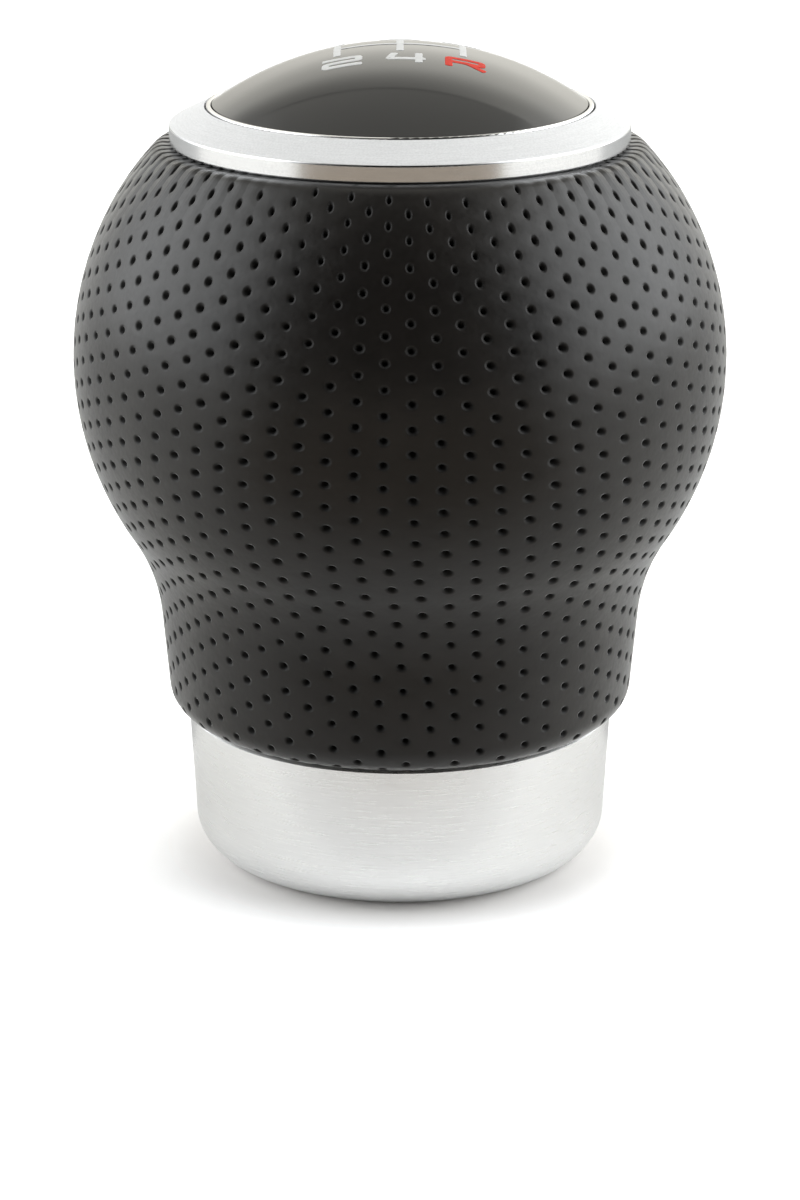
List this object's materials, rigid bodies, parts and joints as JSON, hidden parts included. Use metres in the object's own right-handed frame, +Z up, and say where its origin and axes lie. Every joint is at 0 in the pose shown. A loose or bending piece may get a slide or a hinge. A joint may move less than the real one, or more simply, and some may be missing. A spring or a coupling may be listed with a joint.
{
  "type": "gear shift knob",
  "caption": "Waisted leather bulb knob with a turned aluminium top ring, a domed push-in shift pattern cap and a turned base collar that hides the lever clamp screws.",
  "frame": {"origin": "centre of the collar's foot, on the surface the knob stands on", "axes": "+Z up along the lever's axis, -Y towards the viewer of the picture, +X to the viewer's right"},
  "size_m": [0.056, 0.056, 0.0713],
  "materials": {
    "core_plastic": "moulded, unpainted",
    "black_leather": "soft matt, perforated",
    "satin_aluminium": "satin turned and anodised",
    "screw_steel": "zinc plated",
    "polished_rim": "polished",
    "gloss_black": "polished, printed pattern",
    "socket_aluminium": "turned",
    "bush_plastic": "moulded"
  },
  "bodies": {
    "grip": {"grip_core": "core_plastic", "leather_cover": "black_leather", "top_ring": "satin_aluminium", "ring_screws": "screw_steel", "lever_socket": "socket_aluminium", "adapter_bush": "bush_plastic", "grub_screws": "screw_steel"},
    "cap": {"pattern_cap": "gloss_black", "cap_bezel": "polished_rim"},
    "collar": {"base_collar": "satin_aluminium"}
  },
  "joints": [
    {"name": "cap_lift", "type": "slide", "parent": "grip", "child": "cap", "axis": [0, 0, 1], "range_m": [0, 0.015]},
    {"name": "collar_unscrew", "type": "slide", "parent": "grip", "child": "collar", "axis": [0, 0, -1], "range_m": [0, 0.014]}
  ]
}
